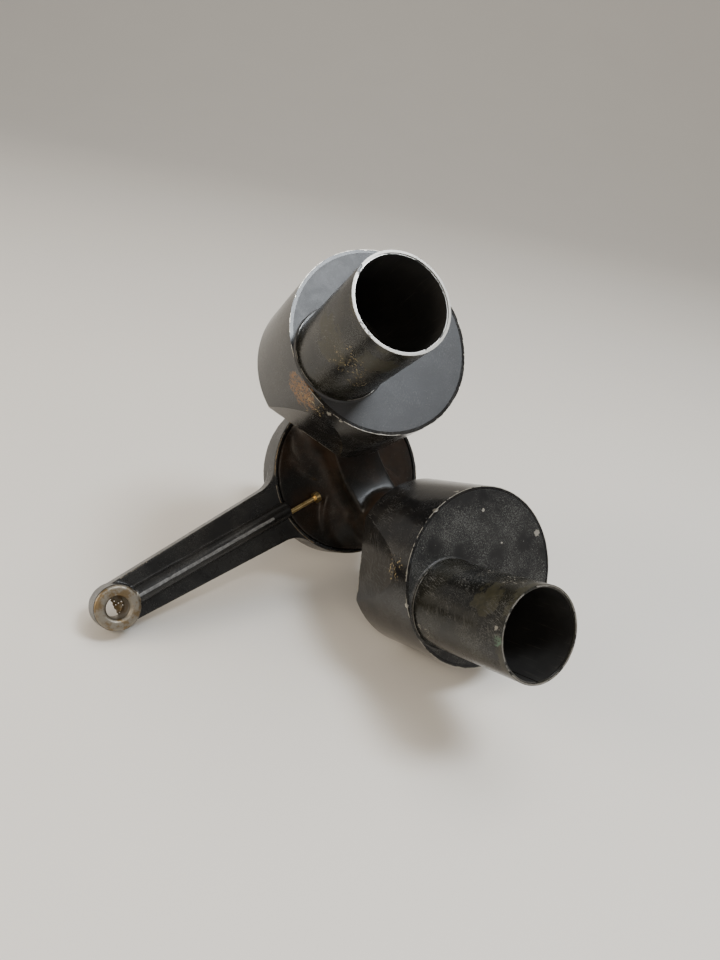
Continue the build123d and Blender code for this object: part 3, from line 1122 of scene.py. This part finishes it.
class Carrier:
    """The ring, its arm and the boss, with the locating pin and the ring's grub screws."""

    def __init__(self, head: HeadFrame, sizes: CarrierSizes = CarrierSizes()) -> None:
        """Finds the arm's line and the ring's middle.

        Args:
            head: The head's frame.
            sizes: The carrier's sizes.
        """
        self.head = head
        self.sizes = sizes
        mount = head.mounts["arm_bore"]
        axis = Vector(mount["axis"]).normalized()
        middle = Vector(mount["pos_m"])
        casting = RoundPart.of("body_casting", head.axis * -1, head.eye)
        ring_middle = casting.top.origin
        lift = (middle - ring_middle).dot(axis)
        self.centre = ring_middle + axis * lift
        run = middle - self.centre
        self.along = run.normalized()
        self.side = axis.cross(self.along)
        self.boss = Axial(middle + axis * (sizes.boss_length / 2 * MM), axis, self.side)

    def blade_point(self, reach: float, aside: float, lift: float) -> Vector:
        """A point on the arm.

        Args:
            reach: Distance from the ring's axis towards the boss, in millimetres.
            aside: Distance to the side of the arm's middle line.
            lift: Height above the blade's front face.

        Returns:
            The point in metres.
        """
        level = self.boss.origin + self.boss.axis * ((lift - self.sizes.boss_rise) * MM)
        return level + self.along * ((reach - self.sizes.reach) * MM) + self.side * (aside * MM)

    def build(self) -> bpy.types.Object:
        """Makes the cast copy of the carrier and dresses everything on it.

        Returns:
            The carrier's new object.
        """
        size = self.sizes
        nodes = ("carrier_ring", "carrier_arm")
        piece = CastCopy("carrier_cast", nodes, size.voxel, size.passes).build()
        self.dress(piece)
        return piece

    def dress(self, piece: bpy.types.Object) -> None:
        """Gives the carrier, the pin and the screws their finishes.

        Args:
            piece: The carrier's object.
        """
        size = self.sizes
        ring = Axial(self.blade_point(0, 0, 0), self.boss.axis, self.side)
        edges = []
        for sign in (-1, 1):
            root = self.blade_point(size.edge_start, sign * size.blade_half_root, 0)
            tip = self.blade_point(size.edge_end, sign * size.blade_half_tip, 0)
            edges.append(Line(width=0.24, ragged=0.10, grain=0.6, broken=0.45, start=root, end=tip))
        # The rib's crest line is partly rubbed paint and partly a painted highlight: a pale grey
        # line laid where the lamps' glint runs along the crest.
        crest_wear_and_highlight = Line(
            width=0.55,
            ragged=0.12,
            grain=2.4,
            start=self.blade_point(size.rib_start, 0, size.rib_crest),
            end=self.blade_point(size.rib_end, 0, size.rib_crest),
        )
        face = Cap(
            width=0.10,
            ragged=0.03,
            frame=self.boss,
            radius=size.boss_radius,
            height=-size.bevel,
        )
        bore = Cap(
            width=0.10,
            ragged=0.0,
            frame=self.boss,
            radius=size.bore_radius,
            height=-size.boss_length,
        )
        shoulder = Ring(
            width=0.16,
            ragged=0.10,
            grain=1.4,
            broken=0.35,
            frame=ring,
            radius=size.ring_radius - 0.25,
        )
        paint = Paint(
            coat=(0.007, 0.0072, 0.0075),
            drift=(0.012, 0.0115, 0.011),
            gloss=0.29,
            gloss_drift=0.14,
            peel_size=1.0,
            peel_depth=0.009,
            lacquer=0.03,
            bare=(0.165, 0.158, 0.142),
            bare_gloss=0.44,
            speck_tint=(0.24, 0.21, 0.16),
            mirror=0.26,
            worn=(face, bore, shoulder, *edges),
            # the rubbed tint here is the pale grey of the crest's painted highlight over rubbed
            # paint
            rubbed=(crest_wear_and_highlight,),
            rubbed_tint=(0.17, 0.175, 0.18),
            tarnish=0.8,
        )
        dress(piece, paint.material("arm_enamel"))
        brass = Metal(tint=(0.66, 0.50, 0.24), tarnish=(0.22, 0.13, 0.05), grain=self.along)
        dress(NODES["locating_pin"], brass.material("pin_brass"))
        steel = Metal(tint=(0.24, 0.24, 0.25), tarnish=(0.10, 0.08, 0.07), gloss=0.38)
        dress(NODES["ring_screws"], steel.material("ring_screw_steel"))


@dataclass(frozen=True)
class CastingSizes:
    """What the body casting's looks need to know, in millimetres."""

    voxel: float = 0.40
    passes: int = 34


class Casting:
    """The disc, necks and web that both housings turn on."""

    def __init__(self, head: HeadFrame, sizes: CastingSizes = CastingSizes()) -> None:
        """Keeps the head's frame.

        Args:
            head: The head's frame.
            sizes: The casting's sizes.
        """
        self.head = head
        self.sizes = sizes

    def build(self) -> bpy.types.Object:
        """Makes the cast copy and dresses it.

        Returns:
            The casting's new object.
        """
        size = self.sizes
        piece = CastCopy("body_cast", ("body_casting",), size.voxel, size.passes).build()
        self.dress(piece)
        return piece

    def dress(self, piece: bpy.types.Object) -> None:
        """Gives the casting its enamel.

        Args:
            piece: The casting's object.
        """
        paint = Paint(
            coat=(0.005, 0.0046, 0.004),
            drift=(0.017, 0.010, 0.006),
            gloss=0.32,
            gloss_drift=0.12,
            peel_size=1.8,
            peel_depth=0.008,
            lacquer=0.03,
            mirror=0.13,
            dust=0.3,
            scratches=0.25,
        )
        dress(piece, paint.material("casting_enamel"))


@dataclass(frozen=True)
class UnitSizes:
    """What a housing's looks need to know, in millimetres."""

    rim: float = 1.0
    depth: float = 29.5
    tube_radius: float = 12.5
    tube_length: float = 36.1
    collar: float = 0.5
    collar_height: float = 0.9
    bead: float = 0.45


class Unit:
    """One housing with its cover, eyepiece tube, sleeve and everything inside."""

    def __init__(self, side: Side, head: HeadFrame, sizes: UnitSizes = UnitSizes()) -> None:
        """Measures the half's round parts.

        Args:
            side: Which half it is.
            head: The head's frame.
            sizes: The unit's sizes.
        """
        self.side = side
        self.head = head
        self.sizes = sizes
        axis = head.unit_axes[side]
        self.cover = RoundPart.of(side.node("cover"), axis, head.eye)
        self.tube = RoundPart.of(side.node("eyepiece_tube"), axis, head.eye)

    def build(self) -> list[bpy.types.Object]:
        """Makes the half's extra pieces and dresses its nodes.

        Returns:
            The new objects.
        """
        pieces = [self.foot_bead()]
        self.dress_housing()
        self.dress_cover(pieces[0])
        self.dress_tube()
        self.dress_inside()
        return pieces

    def foot_bead(self) -> bpy.types.Object:
        """The bead of enamel that has gathered round the tube's collar.

        Returns:
            The new ring.
        """
        size = self.sizes
        mouth = self.tube.top
        foot = Axial(mouth.at(0, 0, -size.tube_length), mouth.axis, mouth.zero)
        inner = size.tube_radius + size.collar
        bend = [radians(a) for a in range(0, 91, 15)]
        arc = [(inner + size.bead * (1 - cos(a)), size.bead * (1 - sin(a))) for a in bend]
        profile = [(inner - 0.02, -0.02), *arc, (inner + size.bead, -0.02)]
        ring = Lathe(self.side.node("foot_bead"), foot, profile)
        return ring.build(self.side.body, "cover_enamel")

    def dress_housing(self) -> None:
        """Gloss black enamel with chipped rims, and a thin pale line round the face rim that is
        partly wear and partly a painted edge highlight.
        """
        face = self.cover.top
        radius = self.cover.radius + self.sizes.rim
        back = self.sizes.depth - 0.2
        worn: list[Zone] = [
            # The thin, finely broken line round the face rim is partly chipped paint and partly a
            # painted highlight in place of a rounded edge's glint; the wider, more broken ring
            # below is chips.
            Ring(width=0.13, ragged=0.08, grain=1.0, broken=0.30, frame=face, radius=radius),
            Ring(width=0.36, ragged=0.36, grain=1.1, broken=0.80, frame=face, radius=radius),
            Belt(width=0.34, ragged=0.30, grain=1.6, broken=0.50, frame=face, height=-back),
        ]
        stained: tuple[Zone, ...] = ()
        if self.side is Side.RIGHT:
            chips = (
                (14, -1.4, 0.8, 0.5, 0.9),
                (22, -0.8, 0.6, 0.4, 0.8),
                (138, -0.3, 0.5, 0.2, 0.6),
            )
            stained = (Patch.at(face, -6, radius, -4.5, 5.5, 3.0, 4.0),)
            flecked = (Patch.at(face, 4, radius, -5.0, 4.5, 3.0, 3.0),)
        else:
            chips = (
                (-54, -1.6, 0.7, 0.5, 0.9),
                (-33, -0.3, 0.8, 0.5, 0.9),
                (29, -0.5, 0.6, 0.4, 0.8),
            )
            flecked = (Patch.at(face, 10, radius, -7.0, 4.0, 3.0, 3.0),)
        for angle, height, width, ragged, grain in chips:
            worn.append(Patch.at(face, angle, radius, height, width, ragged, grain))
        paint = Paint(
            gloss=0.17,
            gloss_drift=0.10,
            lacquer=0.10,
            mirror=0.22,
            worn=tuple(worn),
            stained=stained,
            flecked=flecked,
        )
        enamel = paint.material(self.side.node("housing_enamel"))
        dress(NODES[self.side.node("prism_housing")], enamel)

    def dress_cover(self, bead: bpy.types.Object) -> None:
        """Fine-grained satin enamel, the same on the bead round the tube.

        Args:
            bead: The ring round the tube's foot.
        """
        face = self.cover.top
        # light marks the right cover; its lighter, bluer coat and drift below are painted glare
        # standing in for the softbox's grey-blue highlight, while its fewer scratches, specks and
        # dust are wear
        light = self.side is Side.RIGHT
        spots: tuple[Zone, ...] = ()
        chips: tuple[Zone, ...] = ()
        if light:
            places = ((-84, 21.6, 0.9), (-104, 21.6, 1.3), (-125, 24.4, 0.8))
            spots = tuple(Patch.at(face, a, r, 0, w, 0.5, 1.0) for a, r, w in places)
        else:
            places = ((-73, 19.6, 0.5), (-134, 24.3, 1.1), (-110, 12.0, 0.3), (160, 22.0, 0.4))
            chips = tuple(Patch.at(face, a, r, 0, w, 0.4, 0.7) for a, r, w in places)
        paint = Paint(
            # painted glare: the right cover's coat and drift are lighter and bluer than the left's
            # same enamel
            coat=(0.014, 0.0145, 0.016) if light else (0.008, 0.008, 0.0085),
            drift=(0.021, 0.022, 0.025) if light else (0.013, 0.013, 0.0130),
            gloss=0.42 if light else 0.34,
            gloss_drift=0.10,
            peel_size=0.75,
            peel_depth=0.016,
            grain_size=0.34,
            grain_depth=0.026,
            lacquer=0.0,
            mirror=0.42 if light else 0.26,
            scratches=0.5 if light else 1.0,
            scratch_tint=(0.09, 0.09, 0.09) if light else (0.15, 0.15, 0.14),
            specks=0.0 if light else 0.7,
            dust=0.4 if light else 0.8,
            bare=(0.34, 0.33, 0.30),
            worn=chips,
            rubbed=spots,
            rubbed_tint=(0.005, 0.005, 0.006),
        )
        material = paint.material(self.side.node("cover_enamel"))
        dress(NODES[self.side.node("cover")], material)
        dress(bead, material)

    def dress_tube(self) -> None:
        """Worn lacquer outside, bare metal on the rim and blackened metal inside."""
        mouth = self.tube.top
        size = self.sizes
        right = self.side is Side.RIGHT
        radius = size.tube_radius
        rim = Ring(
            width=0.46 if right else 0.22,
            ragged=0.08,
            grain=0.9,
            broken=0.08 if right else 0.22,
            frame=mouth,
            radius=radius - 0.3,
        )
        collar = Ring(
            width=0.16,
            ragged=0.10,
            broken=0.5,
            frame=mouth,
            radius=radius + size.collar,
            height=size.collar_height - size.tube_length,
        )
        worn: list[Zone] = [rim, collar]
        rubbed: list[Zone] = [
            Belt(width=1.4, ragged=1.2, grain=2.0, broken=0.35, frame=mouth, height=-0.8)
        ]
        stained: tuple[Zone, ...] = ()
        if right:
            flecks = ((12, -15.0, 5.5), (40, -22.0, 4.0), (-6, -19.0, 2.5))
            rubs = ((-18, -16.0, 7.0), (35, -9.0, 5.0))
        else:
            flecks = ((-66, -8.0, 4.5), (-69, -17.0, 4.5), (11, -2.6, 1.8), (50, -32.0, 3.0))
            rubs = ((-20, -9.0, 5.0),)
            worn.append(Patch.at(mouth, 8, radius, -2.4, 0.6, 0.5, 0.8))
            stained = (Patch.at(mouth, 22, radius, -1.2, 1.5, 1.2, 1.2),)
        stray = 0.6
        flecked = tuple(Patch.at(mouth, a, radius, h, w, w * stray, 3.0) for a, h, w in flecks)
        rubbed.extend(Patch.at(mouth, a, radius, h, w, w * stray, 4.0) for a, h, w in rubs)
        paint = Paint(
            coat=(0.006, 0.006, 0.0055),
            drift=(0.012, 0.0115, 0.0085),
            gloss=0.25,
            gloss_drift=0.12,
            peel_size=1.1,
            peel_depth=0.006,
            scratches=0.8,
            bare=(0.27, 0.262, 0.245),
            speck_tint=(0.17, 0.155, 0.13),
            rubbed_tint=(0.026, 0.024, 0.014),
            stain_tint=(0.06, 0.10, 0.07),
            fleck_tint=(0.26, 0.205, 0.105) if right else (0.24, 0.225, 0.19),
            worn=tuple(worn),
            rubbed=tuple(rubbed),
            stained=stained,
            flecked=flecked,
        )
        lacquer = paint.material(self.side.node("tube_lacquer"))
        dress(NODES[self.side.node("eyepiece_tube")], lacquer)
        edge = Ring(
            width=0.30,
            ragged=0.12,
            grain=0.9,
            broken=0.1,
            frame=mouth,
            radius=radius - 0.75,
            height=-0.3,
        )
        tint = (0.30, 0.29, 0.27) if right else (0.15, 0.145, 0.135)
        bore = BlackenedBore(mouth=(edge,), mouth_tint=tint, slide=mouth.axis)
        lining = bore.material(self.side.node("sleeve_metal"))
        dress(NODES[self.side.node("eyepiece_sleeve")], lining)

    def dress_inside(self) -> None:
        """Glass, brass and steel behind the cover."""
        glass = Glass().material(self.side.node("prism_glass"))
        for part in ("upper_prism", "lower_prism"):
            dress(NODES[self.side.node(part)], glass)
        spring = Metal(
            tint=(0.62, 0.47, 0.22),
            tarnish=(0.30, 0.18, 0.07),
            gloss=0.26,
            grain=self.head.across,
        )
        strip = spring.material(self.side.node("spring_brass"))
        for part in ("upper_prism_clip", "lower_prism_clip"):
            dress(NODES[self.side.node(part)], strip)
        plate = Metal(
            tint=(0.60, 0.46, 0.23),
            tarnish=(0.28, 0.17, 0.07),
            gloss=0.34,
            grain=self.head.arm,
        )
        dress(NODES[self.side.node("prism_shelf")], plate.material(self.side.node("turned_brass")))
        steel = Metal(tint=(0.26, 0.26, 0.27), tarnish=(0.11, 0.09, 0.08), gloss=0.34)
        blued = steel.material(self.side.node("screw_steel"))
        for part in ("cover_screws", "shelf_screws", "clip_screws"):
            dress(NODES[self.side.node(part)], blued)


@dataclass(frozen=True)
class ObjectiveSizes:
    """What an objective's looks need to know, in millimetres."""

    nose_radius: float = 6.6
    nose_length: float = 7.0
    rim_inset: float = 0.3


class Objective:
    """One objective barrel, its lenses and the neck's washer and nut."""

    def __init__(
        self, side: Side, head: HeadFrame, sizes: ObjectiveSizes = ObjectiveSizes()
    ) -> None:
        """Measures the barrel from its free end.

        Args:
            side: Which half it is.
            head: The head's frame.
            sizes: The objective's sizes.
        """
        self.side = side
        self.head = head
        self.sizes = sizes
        down = head.unit_axes[side] * -1
        self.barrel = RoundPart.of(side.node("objective_barrel"), down, head.eye)

    def build(self) -> None:
        """Dresses the objective's nodes; their shapes come from the frame as they are."""
        nose = self.barrel.top
        size = self.sizes
        rim = size.nose_radius - size.rim_inset
        paint = Paint(
            gloss=0.26,
            peel_size=1.2,
            scratches=0.6,
            worn=(
                Ring(width=0.55, ragged=0.15, grain=1.0, frame=nose, radius=rim),
                Belt(width=0.3, ragged=0.25, grain=1.8, frame=nose, height=-size.nose_length),
            ),
            bare=(0.62, 0.50, 0.28),
            speck_tint=(0.45, 0.33, 0.16),
        )
        lacquer = paint.material(self.side.node("objective_lacquer"))
        dress(NODES[self.side.node("objective_barrel")], lacquer)
        glass = Glass(tint=(0.90, 0.93, 0.97)).material(self.side.node("lens_glass"))
        for part in ("rear_lens", "front_lens"):
            dress(NODES[self.side.node(part)], glass)
        brass = Metal(tint=(0.64, 0.49, 0.24), tarnish=(0.30, 0.19, 0.08), gloss=0.28)
        turned = brass.material(self.side.node("ring_brass"))
        for part in ("lens_ring", "neck_nut"):
            dress(NODES[self.side.node(part)], turned)
        fibre = Fibre().material(self.side.node("washer_fibre"))
        dress(NODES[self.side.node("neck_washer")], fibre)


# --------------------------------------------------------------------------- studio


@dataclass(frozen=True)
class Softbox:
    """One area light, aimed at a point. Metres and watts."""

    name: str
    place: Vector
    aim: Vector
    width: float
    height: float
    power: float
    tint: Colour

    def build(self) -> bpy.types.Object:
        """Adds the light.

        Returns:
            The light's object.
        """
        lamp = bpy.data.lights.new(self.name, "AREA")
        lamp.shape = "RECTANGLE"
        lamp.size = self.width
        lamp.size_y = self.height
        lamp.energy = self.power
        lamp.color = self.tint
        holder = bpy.data.objects.new(self.name, lamp)
        holder.location = self.place
        holder.rotation_euler = (self.aim - self.place).to_track_quat("-Z", "Y").to_euler()
        bpy.context.scene.collection.objects.link(holder)
        log.info("%s lit at %.1f W", self.name, self.power)
        return holder


@dataclass(frozen=True)
class View:
    """Where the camera is and which way it looks, in metres."""

    eye: Vector = field(default_factory=lambda: Vector((0.00415, -0.21005, 0.15594)))
    right: Vector = field(default_factory=lambda: Vector((0.980376, 0.088792, 0.176017)))
    down: Vector = field(default_factory=lambda: Vector((0.197142, -0.445539, -0.873287)))
    lens: float = 28.875
    sensor: float = 36.0

    def build(self) -> bpy.types.Object:
        """Adds the camera and makes it the scene's own.

        Returns:
            The camera's object.
        """
        data = bpy.data.cameras.new("camera")
        data.lens = self.lens
        data.sensor_width = self.sensor
        data.sensor_fit = "AUTO"
        data.clip_start = 0.01
        data.clip_end = 20.0
        data.dof.use_dof = False
        holder = bpy.data.objects.new("camera", data)
        up = -self.down.normalized()
        back = self.right.normalized().cross(up)
        turn = Matrix((self.right.normalized(), up, back)).transposed().to_4x4()
        holder.matrix_world = Matrix.Translation(self.eye) @ turn
        bpy.context.scene.collection.objects.link(holder)
        bpy.context.scene.camera = holder
        log.info("camera at %s", tuple(round(c, 4) for c in self.eye))
        return holder


class Studio:
    """A pale floor, a soft sky and softboxes."""

    def __init__(self, half_floor: float = 2.4, sweep: float = 1.4) -> None:
        """Plans the studio.

        Args:
            half_floor: Half the floor's side in metres.
            sweep: Radius of the curve that lifts the floor's far end, in metres.
        """
        self.half_floor = half_floor
        self.sweep = sweep

    def build(self) -> None:
        """Makes the floor, the sky and the lights."""
        self.floor()
        self.sky()
        aim = Vector((0.0, 0.0, 0.06))
        cool, warm = (0.88, 0.94, 1.0), (1.0, 0.86, 0.68)
        boxes = (
            Softbox("glare_box", Vector((0.36, -0.17, 0.80)), aim, 0.24, 0.24, 6.5, cool),
            Softbox("top_box", Vector((0.10, 0.10, 0.95)), aim, 0.50, 0.50, 3.0, (1.0, 0.97, 0.92)),
            Softbox("left_box", Vector((-0.85, -0.35, 0.42)), aim, 0.40, 0.60, 6.5, warm),
            Softbox("front_box", Vector((0.05, -0.95, 0.75)), aim, 0.60, 0.22, 3.0, warm),
        )
        for box in boxes:
            box.build()

    def floor(self) -> bpy.types.Object:
        """Makes the floor under the object, curved up far behind it.

        Returns:
            The floor's object.
        """
        half, bend = self.half_floor, self.sweep
        start = half - bend
        line = [(-half, 0.0), (start, 0.0)]
        for step in range(1, 25):
            angle = radians(90 * step / 24)
            line.append((start + bend * sin(angle), bend * (1 - cos(angle))))
        line.append((half, half))
        mesh = bpy.data.meshes.new("floor")
        points = [Vector((side * half, y, z)) for y, z in line for side in (-1, 1)]
        faces = [(2 * k, 2 * k + 1, 2 * k + 3, 2 * k + 2) for k in range(len(line) - 1)]
        mesh.from_pydata(points, [], faces)
        for polygon in mesh.polygons:
            polygon.use_smooth = True
        floor = bpy.data.objects.new("floor", mesh)
        bpy.context.scene.collection.objects.link(floor)
        dress(floor, Table().material("studio_floor"))
        return floor

    def sky(self) -> None:
        """Gives the world a plain pale light."""
        world = bpy.data.worlds.new("sky")
        world.use_nodes = True
        background = world.node_tree.nodes["Background"]
        background.inputs["Color"].default_value = (0.93, 0.90, 0.86, 1.0)
        background.inputs["Strength"].default_value = 0.52
        bpy.context.scene.world = world


# --------------------------------------------------------------------------- making


def main() -> None:
    """Builds the looks in order and reports each piece."""
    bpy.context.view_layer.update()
    view = View()
    view.build()
    head = HeadFrame.of(RECORD, view.eye)
    Carrier(head).build()
    Casting(head).build()
    for side in Side:
        Unit(side, head).build()
        Objective(side, head).build()
    Studio().build()


if __name__ == "__main__":
    main()
